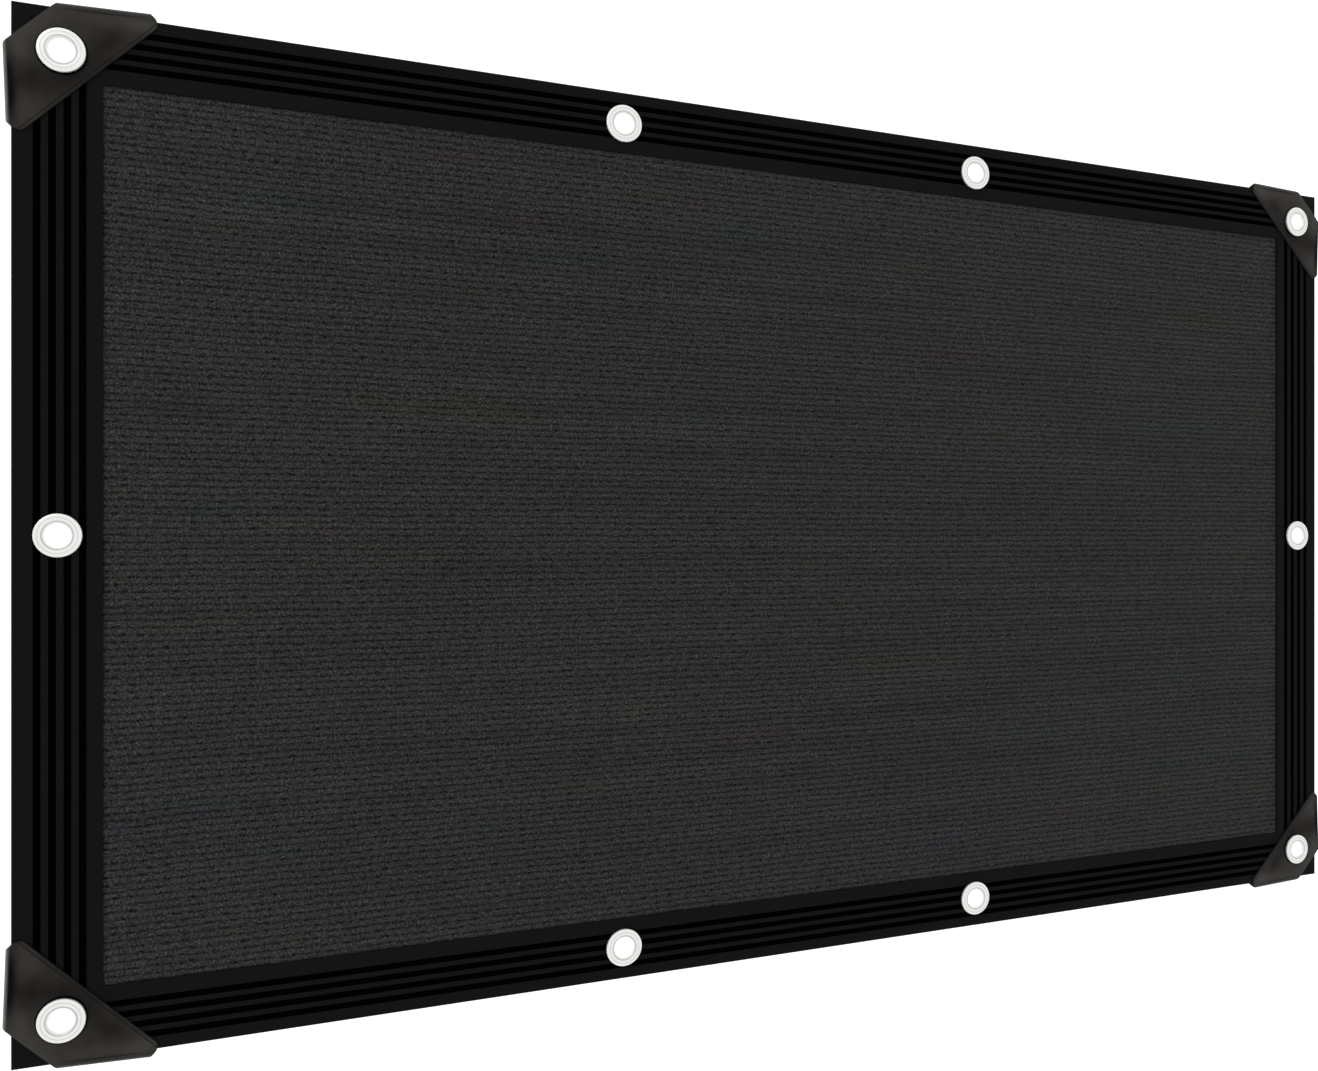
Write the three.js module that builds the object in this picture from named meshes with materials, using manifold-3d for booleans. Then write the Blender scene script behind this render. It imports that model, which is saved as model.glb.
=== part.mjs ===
// A rectangular shade cloth: a knitted net panel whose edge is slid into a ribbed tape folded over it,
// with a leather patch folded over each corner and ten metal eyelets clinched through the tape.
// Millimetres. The cloth lies face up: +X is along its length, +Y up its height, +Z out of its face,
// and z = 0 is the surface that it lies on.

import * as THREE from 'three';
import { mergeVertices } from 'three/addons/utils/BufferGeometryUtils.js';
import Module from 'manifold-3d';

const wasm = await Module();
wasm.setup();

// Whole cloth, over the outer edges of the tape
const CLOTH_LENGTH = 1000;
const CLOTH_HEIGHT = 600;
const CLEARANCE = 0.3; // between any two pieces that touch on the real cloth

// Net panel
const NET_THICKNESS = 1.2;
const NET_INSET = 32; // from the outer edge of the tape to the edge of the net inside it
const SETTLE_RUN = 70; // width of the border where the net comes down to the surface
const SETTLE_STEPS = 4;

// Tape, folded over the edge of the net: plain margins, with four sunk channels between them
const TAPE_LAYER = 1.0;
const TAPE_SLOT = NET_THICKNESS + 2 * CLEARANCE;
const TAPE_THICKNESS = TAPE_SLOT + 2 * TAPE_LAYER;
const TAPE_FOLD_CHAMFER = 1.1;
const CHANNEL_COUNT = 4;
const CHANNEL_DEPTH = 0.4;
const LONG_TAPE = {
  length: CLOTH_LENGTH,
  width: 41,
  channelStart: 7.85,
  channelPitch: 6.75,
  channelWidth: 3.7,
};
const SIDE_TAPE = {
  length: CLOTH_HEIGHT,
  width: 46,
  channelStart: 10.85,
  channelPitch: 7.65,
  channelWidth: 3.9,
};

// Corner patch: a strip of leather laid across the corner and folded over both edges
const PATCH_LAYER = 1.0;
const PATCH_TIP = 21.2; // where its outer edge crosses the tape's edges, from the corner
const PATCH_SPAN = 78.8; // where the line of its inner edge would cross them
const PATCH_LONG_END = 75.6; // where its end along the top or bottom tape is cut off
const PATCH_SIDE_END = 71.0; // and its end along the side tape
const PATCH_PROUD = 3.4; // how far its folds stand out from the tape's edges at their middles
const PATCH_PIVOT = 46; // where those middles are, from the corner
const PATCH_LEAN = THREE.MathUtils.degToRad(2); // its folds are askew: each is turned about its middle
const PATCH_THICKNESS = TAPE_THICKNESS + 2 * (CLEARANCE + PATCH_LAYER);

// Eyelet: a spun flange and barrel, clinched over a washer at the back
const HOLE_RADIUS = 6.7;
const BARREL_RADIUS = 7.5;
const FLANGE_RADIUS = 12.5;
const FLANGE_RIM = 0.5;
const FLANGE_HEIGHT = 1.7;
const SHOULDER = { radius: 11.7, height: 1.25 }; // on the way from the rim to the crest
const CREST_OUTER = 10.3;
const CREST_INNER = 8.5;
const THROAT = { radius: 7.3, height: 1.0 }; // on the way from the crest down into the hole
const LIP_RADIUS = 9.3;
const LIP_THICKNESS = 0.6;
const LIP_CURL = 0.3;
const WASHER_RADIUS = 12;
const WASHER_THICKNESS = 0.6;
const WASHER_EDGE = 0.3;
const PUNCHED_RADIUS = BARREL_RADIUS + CLEARANCE;
const ROUND_STEPS = 24;
const CLINCH_DEPTH = CLEARANCE + WASHER_THICKNESS + CLEARANCE + LIP_THICKNESS;

// Places of the eyelets
const CORNER_EYELET_IN = 25.5; // from both edges
const LONG_EYELET_IN = 21.7; // from the top or bottom edge
const LONG_EYELET_X = 141; // either side of the middle
const SIDE_EYELET_IN = 23.4; // from the left or right edge

// Heights, built up from the surface: the clinched lips of the corner eyelets rest on it
const TAPE_Z = CLINCH_DEPTH + PATCH_LAYER + CLEARANCE;
const MIDDLE_Z = TAPE_Z + TAPE_THICKNESS / 2;

const X_AXIS = new THREE.Vector3(1, 0, 0);
const Y_AXIS = new THREE.Vector3(0, 1, 0);
const Z_AXIS = new THREE.Vector3(0, 0, 1);
const QUARTER_TURN = Math.PI / 2;

const netMaterial = new THREE.MeshStandardMaterial({ color: 0x2d2d2d, roughness: 0.9, metalness: 0 });
const tapeMaterial = new THREE.MeshStandardMaterial({ color: 0x151515, roughness: 0.85, metalness: 0 });
const leatherMaterial = new THREE.MeshStandardMaterial({ color: 0x2d2b28, roughness: 0.6, metalness: 0 });
const metalMaterial = new THREE.MeshStandardMaterial({ color: 0xe8e8e6, roughness: 0.3, metalness: 1 });

// A closed geometry with its shared points merged, holding positions and faces alone.
function welded(geometry) {
  const bare = geometry.clone();
  bare.deleteAttribute('normal');
  bare.deleteAttribute('uv');
  return mergeVertices(bare);
}

function toSolid(geometry) {
  const bare = welded(geometry);
  return new wasm.Manifold(new wasm.Mesh({
    numProp: 3,
    vertProperties: new Float32Array(bare.attributes.position.array),
    triVerts: new Uint32Array(bare.index.array),
  }));
}

function toGeometry(solid) {
  const mesh = solid.getMesh();
  const geometry = new THREE.BufferGeometry();
  geometry.setAttribute('position', new THREE.BufferAttribute(mesh.vertProperties, 3));
  geometry.setIndex(new THREE.BufferAttribute(mesh.triVerts, 1));
  geometry.computeVertexNormals();
  return geometry;
}

function outline(points) {
  return new THREE.Shape(points.map(([x, y]) => new THREE.Vector2(x, y)));
}

// The shape extruded along Z, the same distance each way.
function extruded(shape, length) {
  return new THREE.ExtrudeGeometry(shape, { depth: length, bevelEnabled: false, curveSegments: 8 })
    .translate(0, 0, -length / 2);
}

function spun(profile) {
  const points = profile.map(([r, z]) => new THREE.Vector2(r, z));
  return new THREE.LatheGeometry([...points, points[0]], ROUND_STEPS).rotateX(QUARTER_TURN);
}

// The cutter for one punched hole.
function punch(x, y) {
  return new THREE.CylinderGeometry(PUNCHED_RADIUS, PUNCHED_RADIUS, 4 * PATCH_THICKNESS, ROUND_STEPS)
    .rotateX(QUARTER_TURN)
    .translate(x, y, 0);
}

// Distances from the edge of the net at which its grid has lines, from one side to the other.
function netStations(size, covered) {
  const near = [0];
  for (let i = 0; i <= SETTLE_STEPS; i += 1) {
    near.push(covered + (SETTLE_RUN * i) / SETTLE_STEPS);
  }
  return [...near, ...near.map((distance) => size - distance).reverse()];
}

// From 0 under the tape to 1 where the net lies on the surface.
function settled(distance, size, covered) {
  const fromTape = Math.min(distance, size - distance) - covered;
  return THREE.MathUtils.smoothstep(fromTape, 0, SETTLE_RUN);
}

// The net, its middle at z = 0 where the tape holds it, coming down to the surface inside its border.
function netPanel() {
  const length = CLOTH_LENGTH - 2 * NET_INSET;
  const height = CLOTH_HEIGHT - 2 * NET_INSET;
  const coveredX = SIDE_TAPE.width - NET_INSET;
  const coveredY = LONG_TAPE.width - NET_INSET;
  const alongX = netStations(length, coveredX);
  const alongY = netStations(height, coveredY);
  const cellsX = alongX.length - 1;
  const cellsY = alongY.length - 1;
  const drop = MIDDLE_Z - NET_THICKNESS / 2;
  const geometry = welded(new THREE.BoxGeometry(cellsX, cellsY, NET_THICKNESS, cellsX, cellsY, 1));
  const position = geometry.attributes.position;
  for (let i = 0; i < position.count; i += 1) {
    const x = alongX[Math.round(position.getX(i) + cellsX / 2)];
    const y = alongY[Math.round(position.getY(i) + cellsY / 2)];
    const down = drop * settled(x, length, coveredX) * settled(y, height, coveredY);
    position.setXYZ(i, x - length / 2, y - height / 2, position.getZ(i) - down);
  }
  geometry.computeVertexNormals();
  return geometry;
}

// Section of a tape, about its middle plane: x runs from its outer fold inwards, y up through it.
function tapeSection({ width, channelStart, channelPitch, channelWidth }) {
  const top = TAPE_THICKNESS / 2;
  const slotTop = TAPE_SLOT / 2;
  const slotStart = NET_INSET - CLEARANCE;
  const channels = Array.from({ length: CHANNEL_COUNT }, (_, i) => channelStart + i * channelPitch);
  const underside = channels.flatMap((start) => [
    [start, -top],
    [start, CHANNEL_DEPTH - top],
    [start + channelWidth, CHANNEL_DEPTH - top],
    [start + channelWidth, -top],
  ]);
  const face = underside.map(([x, y]) => [x, -y]).reverse();
  return outline([
    [TAPE_FOLD_CHAMFER, -top],
    ...underside,
    [width, -top],
    [width, -slotTop],
    [slotStart, -slotTop],
    [slotStart, slotTop],
    [width, slotTop],
    [width, top],
    ...face,
    [TAPE_FOLD_CHAMFER, top],
    [0, top - TAPE_FOLD_CHAMFER],
    [0, TAPE_FOLD_CHAMFER - top],
  ]);
}

// One tape, its outer edge along X and its width towards +Y, mitred into the tapes at its ends.
// The holes are given along its length and in from its outer edge.
function tape(kind, neighbour, holes) {
  const half = kind.length / 2;
  const slack = (CLEARANCE / 2) * Math.hypot(kind.width, neighbour.width) / kind.width;
  const mitreX = (y) => half - slack - neighbour.width * y / kind.width;
  const below = -CLEARANCE;
  const above = kind.width + CLEARANCE;
  const trim = extruded(outline([
    [-mitreX(below), below],
    [mitreX(below), below],
    [mitreX(above), above],
    [-mitreX(above), above],
  ]), 2 * TAPE_THICKNESS);
  const band = extruded(tapeSection(kind), kind.length)
    .applyMatrix4(new THREE.Matrix4().makeBasis(Y_AXIS, Z_AXIS, X_AXIS));
  const cornerHole = half - CORNER_EYELET_IN;
  const allHoles = [...holes, [-cornerHole, CORNER_EYELET_IN], [cornerHole, CORNER_EYELET_IN]];
  return toGeometry(allHoles.reduce(
    (solid, [x, y]) => solid.subtract(toSolid(punch(x, y))),
    toSolid(band).intersect(toSolid(trim)),
  ));
}

// A slab that lies towards +X, its edge at the other side rounded and standing out past x = 0.
function roundedSlab(thickness, proud) {
  const round = thickness / 2;
  const far = PATCH_SPAN + thickness;
  const section = new THREE.Shape();
  section.moveTo(far, -round);
  section.lineTo(far, round);
  section.lineTo(round - proud, round);
  section.absarc(round - proud, 0, round, QUARTER_TURN, 3 * QUARTER_TURN, false);
  section.closePath();
  return extruded(section, 2 * far).rotateX(QUARTER_TURN);
}

// The space inside two rounded slabs, one for each edge of the corner, turned by `lean` about the pivot.
function foldedCorner(thickness, proud, lean) {
  const slab = roundedSlab(thickness, proud);
  const slabs = [slab, slab.clone().rotateZ(QUARTER_TURN)];
  const [first, second] = slabs.map((one) => toSolid(one
    .translate(-PATCH_PIVOT, -PATCH_PIVOT, 0)
    .rotateZ(lean)
    .translate(PATCH_PIVOT, PATCH_PIVOT, 0)));
  return first.intersect(second);
}

// One patch, about the tape's middle plane: the cloth's corner is at the origin, its edges along +X and +Y.
// Its long end is along X, or along Y if it is mirrored.
function cornerPatch(mirrored) {
  const lean = mirrored ? PATCH_LEAN : -PATCH_LEAN;
  const past = PATCH_PROUD + 2 * PATCH_LAYER;
  const outer = foldedCorner(PATCH_THICKNESS, PATCH_PROUD, lean);
  const inner = foldedCorner(PATCH_THICKNESS - 2 * PATCH_LAYER, PATCH_PROUD - PATCH_LAYER, lean);
  const strip = [
    [PATCH_TIP + past, -past],
    [PATCH_LONG_END - past, -past],
    [PATCH_LONG_END, 0],
    [PATCH_LONG_END, PATCH_SPAN - PATCH_LONG_END],
    [PATCH_SPAN - PATCH_SIDE_END, PATCH_SIDE_END],
    [0, PATCH_SIDE_END],
    [-past, PATCH_SIDE_END - past],
    [-past, PATCH_TIP + past],
  ].map(([x, y]) => (mirrored ? [y, x] : [x, y]));
  return toGeometry(outer
    .intersect(toSolid(extruded(outline(strip), 2 * PATCH_THICKNESS)))
    .subtract(inner)
    .subtract(toSolid(punch(CORNER_EYELET_IN, CORNER_EYELET_IN))));
}

// One eyelet that clinches `grip` of thickness, whose face is at z = 0.
function eyelet(grip) {
  const under = CLEARANCE;
  const crest = under + FLANGE_HEIGHT;
  const foot = -(grip + CLINCH_DEPTH);
  return spun([
    [BARREL_RADIUS, under],
    [FLANGE_RADIUS, under],
    [FLANGE_RADIUS, under + FLANGE_RIM],
    [SHOULDER.radius, under + SHOULDER.height],
    [CREST_OUTER, crest],
    [CREST_INNER, crest],
    [THROAT.radius, under + THROAT.height],
    [HOLE_RADIUS, 0],
    [HOLE_RADIUS, foot + LIP_THICKNESS],
    [BARREL_RADIUS - LIP_CURL, foot],
    [LIP_RADIUS - LIP_CURL, foot],
    [LIP_RADIUS, foot + LIP_THICKNESS],
    [BARREL_RADIUS, foot + LIP_THICKNESS],
  ]);
}

// The washer that an eyelet is clinched over; the back of what it presses on is at z = 0.
function washer() {
  const top = -CLEARANCE;
  const bottom = top - WASHER_THICKNESS;
  return spun([
    [PUNCHED_RADIUS, bottom],
    [WASHER_RADIUS - WASHER_EDGE, bottom],
    [WASHER_RADIUS, bottom + WASHER_EDGE],
    [WASHER_RADIUS, top],
    [PUNCHED_RADIUS, top],
  ]);
}

const shadeCloth = new THREE.Group();

function place(name, geometry, material, x, y, z, turn = 0) {
  const mesh = new THREE.Mesh(geometry, material);
  mesh.name = name;
  mesh.position.set(x, y, z);
  mesh.rotation.z = turn;
  shadeCloth.add(mesh);
}

function placeEyelet(name, x, y, grip) {
  place(`eyelet_${name}`, eyelet(grip), metalMaterial, x, y, MIDDLE_Z + grip / 2);
  place(`washer_${name}`, washer(), metalMaterial, x, y, MIDDLE_Z - grip / 2);
}

place('net_panel', netPanel(), netMaterial, 0, 0, MIDDLE_Z);

const halfLength = CLOTH_LENGTH / 2;
const halfHeight = CLOTH_HEIGHT / 2;
const longTape = tape(LONG_TAPE, SIDE_TAPE, [[-LONG_EYELET_X, LONG_EYELET_IN], [LONG_EYELET_X, LONG_EYELET_IN]]);
const sideTape = tape(SIDE_TAPE, LONG_TAPE, [[0, SIDE_EYELET_IN]]);
place('tape_bottom', longTape, tapeMaterial, 0, -halfHeight, MIDDLE_Z);
place('tape_right', sideTape, tapeMaterial, halfLength, 0, MIDDLE_Z, QUARTER_TURN);
place('tape_top', longTape, tapeMaterial, 0, halfHeight, MIDDLE_Z, 2 * QUARTER_TURN);
place('tape_left', sideTape, tapeMaterial, -halfLength, 0, MIDDLE_Z, 3 * QUARTER_TURN);

// Each patch is the mirror image of the ones at the next corners
const patches = [cornerPatch(false), cornerPatch(true)];
const corners = [
  ['bottom_left', -1, -1],
  ['bottom_right', 1, -1],
  ['top_right', 1, 1],
  ['top_left', -1, 1],
];
corners.forEach(([corner, sideX, sideY], i) => {
  const turn = i * QUARTER_TURN;
  const patch = patches[i % 2];
  place(`patch_${corner}`, patch, leatherMaterial, sideX * halfLength, sideY * halfHeight, MIDDLE_Z, turn);
  placeEyelet(
    corner,
    sideX * (halfLength - CORNER_EYELET_IN),
    sideY * (halfHeight - CORNER_EYELET_IN),
    PATCH_THICKNESS,
  );
});

for (const [edge, sideY] of [['top', 1], ['bottom', -1]]) {
  const y = sideY * (halfHeight - LONG_EYELET_IN);
  placeEyelet(`${edge}_near_left`, -LONG_EYELET_X, y, TAPE_THICKNESS);
  placeEyelet(`${edge}_near_right`, LONG_EYELET_X, y, TAPE_THICKNESS);
}
placeEyelet('left_middle', SIDE_EYELET_IN - halfLength, 0, TAPE_THICKNESS);
placeEyelet('right_middle', halfLength - SIDE_EYELET_IN, 0, TAPE_THICKNESS);

export default shadeCloth;
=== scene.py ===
# A rectangular shade cloth lying face up: knitted net, ribbed binding tape with sewn channels, a leather
# patch folded over each corner and ten spun metal eyelets. Metres; +X along its length, +Z out of its face.

import math

import bmesh
import bpy
from mathutils import Matrix, Vector, noise


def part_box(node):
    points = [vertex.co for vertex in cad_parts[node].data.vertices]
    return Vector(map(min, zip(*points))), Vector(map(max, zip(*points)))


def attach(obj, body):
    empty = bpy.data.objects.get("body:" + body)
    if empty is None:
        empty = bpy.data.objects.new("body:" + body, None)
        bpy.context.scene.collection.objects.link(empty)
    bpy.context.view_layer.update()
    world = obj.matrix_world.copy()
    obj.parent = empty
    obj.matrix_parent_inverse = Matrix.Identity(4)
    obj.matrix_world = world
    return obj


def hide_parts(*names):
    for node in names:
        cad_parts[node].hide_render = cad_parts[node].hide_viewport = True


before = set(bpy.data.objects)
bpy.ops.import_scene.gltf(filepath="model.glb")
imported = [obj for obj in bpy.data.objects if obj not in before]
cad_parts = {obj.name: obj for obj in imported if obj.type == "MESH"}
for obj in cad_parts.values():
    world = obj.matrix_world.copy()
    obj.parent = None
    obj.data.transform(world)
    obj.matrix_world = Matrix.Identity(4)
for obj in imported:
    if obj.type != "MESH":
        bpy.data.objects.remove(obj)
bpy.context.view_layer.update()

MM = 0.001

# Sizes that the frame was built from
NET_THICKNESS = 1.2 * MM
SETTLE_RUN = 70 * MM
PATCH_LAYER = 1.0 * MM
PATCH_PROUD = 3.4 * MM
PATCH_TIP = 21.2 * MM
PATCH_SPAN = 78.8 * MM
PATCH_LONG_END = 75.6 * MM
PATCH_SIDE_END = 71.0 * MM
PATCH_PIVOT = 46 * MM
PATCH_LEAN = math.radians(2)
PUNCHED_RADIUS = 7.8 * MM
EYELET_PROUD = 2.0 * MM
CHANNEL_COUNT = 4
CHANNEL_DEPTH = 0.4 * MM
LONG_CHANNELS = {"start": 7.85 * MM, "pitch": 6.75 * MM, "width": 3.7 * MM}
SIDE_CHANNELS = {"start": 10.85 * MM, "pitch": 7.65 * MM, "width": 3.9 * MM}

# Distances that only clean up a mesh: its points are joined within them, or taken as lying on a cut
MERGE_DISTANCE = 0.001 * MM
PATCH_MERGE = 0.02 * MM
CUT_TOLERANCE = 0.0001 * MM

# Knit
ROW_COUNT = 130
LINES_PER_ROW = 4
NET_COLUMNS = 56
ROW_RELIEF = 0.25 * MM
ROW_WANDER = 0.35 * MM
WANDER_SCALE = (9.0, 14.0)
NET_SHEET = 0.75 * MM
STITCH_PITCH = 2.3 * MM

# Tape: its weave, its edges, its mitres and how far from the cloth's corner its channels are left plain
WEAVE_PITCH = 0.8 * MM
MITRE_REACH = 0.5 * MM
MITRE_GAP = 0.01 * MM
FOLD_ROUND = 0.7 * MM
FOLD_REACH = 1.2 * MM
LIP_ROUND = 0.12 * MM
PLAIN_CORNER = PATCH_TIP + 3 * MM

# Sewing thread in the channels
LONG_SEWN = 905 * MM
SIDE_SEWN = 507 * MM
SEAM_STITCH = 3.0 * MM
SEAM_PITCH = 3.7 * MM
THREAD_WIDTH = 0.62 * MM
THREAD_HEIGHT = 0.4 * MM
HOLE_MARGIN = 0.4 * MM

# Leather: the sheet's division, the rounds at the two ends of its strip, its edges, hole and wrinkles
PATCH_CELLS = 88
ROUND_STEP = 15
PATCH_ROUNDS = [
    {"centre": Vector((69.6, 2.35, 0)) * MM, "radius": 4.85 * MM, "from": -45},
    {"centre": Vector((4.35, 68.5, 0)) * MM, "radius": 4.2 * MM, "from": 45},
]
LEATHER_EDGE_ROUND = 0.3 * MM
HOLE_START = 2.5 * MM
HOLE_REACH = 16 * MM
WRINKLE_HEIGHT = 0.18 * MM
WRINKLE_SCALE = 45.0
EYELET_DENT = {"at": 12.9 * MM, "width": 1.2 * MM, "depth": 0.2 * MM}
HEM_DENT = {"at": 1.9 * MM, "width": 0.9 * MM, "depth": 0.2 * MM}
DEEPEST_PRESS = 0.5 * MM

# Where the leather is painted darker as shade, paler as a highlight, or paler on its fold's crest as a
# painted sheen that is partly wear: distances from its hem, its eyelet, its fold, its tip or the corner of
# the cloth
HEM_LINE = {"at": 1.75 * MM, "width": 0.8 * MM}
HEM_LIP = {"at": 0.2 * MM, "width": 1.4 * MM}
EYELET_LINE = {"at": 12.7 * MM, "width": 1.3 * MM}
FOLD_LINE = {"at": -1.0 * MM, "width": 0.9 * MM}
# The fold's crest is paler: painted sheen, partly wear
FOLD_CREST = {"at": 2.2 * MM, "width": 1.8 * MM}
# The tip gets a painted highlight that fades over this reach
TIP_HIGHLIGHT = {"reach": 2.5 * MM, "amount": 0.3}
LONG_CREASE_SHADE = {"at": 46 * MM, "reach": 19 * MM, "amount": 0.5}
# How much of that painted sheen and wear each fold's crest gets
LONG_WEAR_AND_SHEEN = 0.35
SIDE_WEAR_AND_SHEEN = 1.0

# Soft swells and troughs pressed into the leather, measured from the cloth's corner along the long and the
# side tape in millimetres; the last number is how much paler or darker the leather is painted there: a
# painted highlight where paler, painted shade where darker
LEATHER_FORMS = [
    {"at": (13, 13), "reach": (16, 6), "turn": -45, "lift": 0.10, "light_and_shade": 0.36},
    {"at": (5, 27), "reach": (4, 8), "turn": 0, "lift": 0.25, "light_and_shade": 0.40},
    {"at": (66, 4), "reach": (11, 5), "turn": 0, "lift": 0.15, "light_and_shade": 0.60},
    {"at": (40, 4), "reach": (16, 4), "turn": 0, "lift": 0.10, "light_and_shade": 0.28},
    {"at": (9, 61), "reach": (6, 10), "turn": -15, "lift": 0.20, "light_and_shade": 0.30},
    {"at": (-0.5, 38), "reach": (2.0, 8), "turn": 0, "lift": -0.30, "light_and_shade": -0.55},
    {"at": (0.5, 56), "reach": (3.0, 13), "turn": 0, "lift": -0.45, "light_and_shade": -0.90},
    {"at": (8, 44), "reach": (9, 9), "turn": -24, "lift": -0.30, "light_and_shade": -0.42},
    {"at": (20, 40), "reach": (13, 8), "turn": -10, "lift": -0.15, "light_and_shade": -0.32},
    {"at": (37, 34), "reach": (24, 8), "turn": -45, "lift": -0.05, "light_and_shade": -0.50},
    {"at": (50, 15), "reach": (11, 6), "turn": -30, "lift": -0.05, "light_and_shade": -0.35},
]

# Eyelets, in millimetres: grooves pressed in the flange, its domed section and the barrel's inside, painted
# as light
EYELET_GROOVES = [
    {"radius": 10.3, "width": 0.4, "depth": 0.5},
    {"radius": 8.05, "width": 0.45, "depth": 0.9},
]
GROOVE_PRESS = 0.3
FLANGE_MIDDLE = 9.6
FLANGE_HALF_WIDTH = 2.9
FLANGE_CREST = 1.95
FLANGE_FALL = 0.55
BARREL_INSIDE = 6.9
SPIN_STEPS = 64

# Colours in linear light, and levels of grey
# The last grey is painted shade: the near black put in the knit's holes
YARN_DARK, YARN_LIGHT, KNIT_GAP_SHADE = 0.0130, 0.0530, 0.0010
TAPE_DARK, TAPE_LIGHT, TAPE_CLOUD = 0.0043, 0.0062, 0.0075
# The channel floors' blacks are painted shade in the sunk channels, darker than the tape's own black
CHANNEL_SHADE_DARK, CHANNEL_SHADE_LIGHT = 0.0001, 0.0004
THREAD_DARK, THREAD_LIGHT = 0.0003, 0.0014
# Painted shade on the leather, and painted shade in its pressed lines
LEATHER_SHADE, LEATHER_LINE_SHADE = 0.0008, 0.0006
# Painted light: the inside of the eyelet's barrel is made paler than the flange's metal
BARREL_LIT = 0.97
FLOOR_GREY, FLOOR_GLOW = 0.5, 0.8
LEATHER_BROWN = (0.0150, 0.0133, 0.0117, 1.0)
LEATHER_LIGHT_BROWN = (0.0280, 0.0252, 0.0222, 1.0)
# Painted highlight on the leather
LEATHER_HIGHLIGHT = (0.0520, 0.0482, 0.0428, 1.0)
# Pale of the fold's crest: painted sheen, partly wear
LEATHER_WORN_SHEEN = (0.1850, 0.1790, 0.1700, 1.0)
SILVER = (0.79, 0.785, 0.77, 1.0)
BRIGHT_SILVER = (0.89, 0.88, 0.86, 1.0)
# Painted shade in the flange's pressed grooves
GROOVE_SHADE_SILVER = (0.46, 0.455, 0.44, 1.0)

# Studio
FLOOR_SIZE = 15.0
FLOOR_Z = -0.05 * MM
LAMP_PLACE = Vector((-1.9, 1.9, 1.6))
LAMP_SIZE = 1.6
LAMP_WATTS = 8.0

# Camera, from the outline in the photograph: its centre is on the image's centre, with no shift
LENS = 27.5
SENSOR_WIDTH = 36.0
CAMERA_PLACE = Vector((-0.3423, 0.0, 0.653))
CAMERA_TURN = math.radians(-19.183)

EYELETS = sorted(name.removeprefix("eyelet_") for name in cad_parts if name.startswith("eyelet_"))
CORNERS = ["bottom_left", "bottom_right", "top_right", "top_left"]
LONG_TAPES = ["tape_bottom", "tape_top"]
SIDE_TAPES = ["tape_left", "tape_right"]

tape_low, tape_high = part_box("tape_top")
FACE_Z = tape_high.z
BACK_Z = tape_low.z
MIDDLE_Z = (FACE_Z + BACK_Z) / 2
HALF_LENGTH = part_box("tape_right")[1].x
HALF_HEIGHT = tape_high.y
LONG_TAPE_WIDTH = tape_high.y - tape_low.y
SIDE_TAPE_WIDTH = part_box("tape_right")[1].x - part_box("tape_right")[0].x
patch_low, patch_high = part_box("patch_top_left")
TAPE_GRIP = (FACE_Z - BACK_Z) / MM
CORNER_GRIP = (patch_high.z - patch_low.z) / MM
EYELET_CENTRES = {name: sum(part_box("eyelet_" + name), Vector()).xy / 2 for name in EYELETS}
EYELET_IN = HALF_LENGTH - abs(EYELET_CENTRES["top_left"].x)


# Shader nodes

def add_node(tree, kind, values=None, **settings):
    node = tree.nodes.new(kind)
    for name, value in settings.items():
        setattr(node, name, value)
    for socket, value in (values or {}).items():
        if isinstance(value, bpy.types.NodeSocket):
            tree.links.new(value, node.inputs[socket])
        else:
            node.inputs[socket].default_value = value
    return node


def calc(tree, operation, first, second=0.0, third=0.0):
    return add_node(tree, "ShaderNodeMath", {0: first, 1: second, 2: third}, operation=operation).outputs[0]


def smooth_step(tree, value, low, high):
    node = add_node(
        tree, "ShaderNodeMapRange", {"Value": value, "From Min": low, "From Max": high},
        interpolation_type="SMOOTHSTEP",
    )
    return node.outputs[0]


def mix_colour(tree, factor, first, second, mode="MIX"):
    node = add_node(
        tree, "ShaderNodeMix", {0: factor, 6: first, 7: second}, data_type="RGBA", blend_type=mode,
    )
    return node.outputs[2]


def vector_calc(tree, operation, values):
    return add_node(tree, "ShaderNodeVectorMath", values, operation=operation).outputs[0]


def stretched_noise(tree, vector, stretch, detail=2.0):
    scaled = vector_calc(tree, "MULTIPLY", {0: vector, 1: stretch})
    values = {"Vector": scaled, "Scale": 1.0, "Detail": detail}
    return add_node(tree, "ShaderNodeTexNoise", values).outputs[0]


def shader_group(name, inputs, outputs):
    group = bpy.data.node_groups.new(name, "ShaderNodeTree")
    for socket, kind, value in inputs:
        made = group.interface.new_socket(socket, in_out="INPUT", socket_type=kind)
        if value is not None:
            made.default_value = value
    for socket in outputs:
        group.interface.new_socket(socket, in_out="OUTPUT", socket_type="NodeSocketFloat")
    return group, group.nodes.new("NodeGroupInput").outputs, group.nodes.new("NodeGroupOutput").inputs


def grey(level):
    return (level, level, level, 1.0)


def mottle_group():
    """Uneven colour: broad clouds and fine specks, both about 0.5."""
    group, given, out = shader_group(
        "mottle",
        [("Vector", "NodeSocketVector", None), ("Cloud Scale", "NodeSocketFloat", 12.0),
         ("Speck Scale", "NodeSocketFloat", 900.0)],
        ["Clouds", "Specks"],
    )
    for scale, detail, socket in (("Cloud Scale", 3.0, "Clouds"), ("Speck Scale", 1.0, "Specks")):
        cloud = add_node(group, "ShaderNodeTexNoise",
                         {"Vector": given["Vector"], "Scale": given[scale], "Detail": detail})
        group.links.new(cloud.outputs[0], out[socket])
    return group


def knit_rows(group, place, counted):
    """The row that a place lies in, and how far across it the place is, from -0.5 to 0.5."""
    row_drift = calc(group, "MULTIPLY_ADD", stretched_noise(group, place, (0.06, 0.3, 1.0)), 0.6, -0.3)
    ragged_edge = calc(group, "MULTIPLY_ADD", stretched_noise(group, place, (0.7, 1.1, 1.0)), 0.5, -0.25)
    rows = calc(group, "ADD", counted, calc(group, "ADD", row_drift, ragged_edge))
    return calc(group, "FLOOR", rows), calc(group, "SUBTRACT", calc(group, "FRACT", rows), 0.5)


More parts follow.
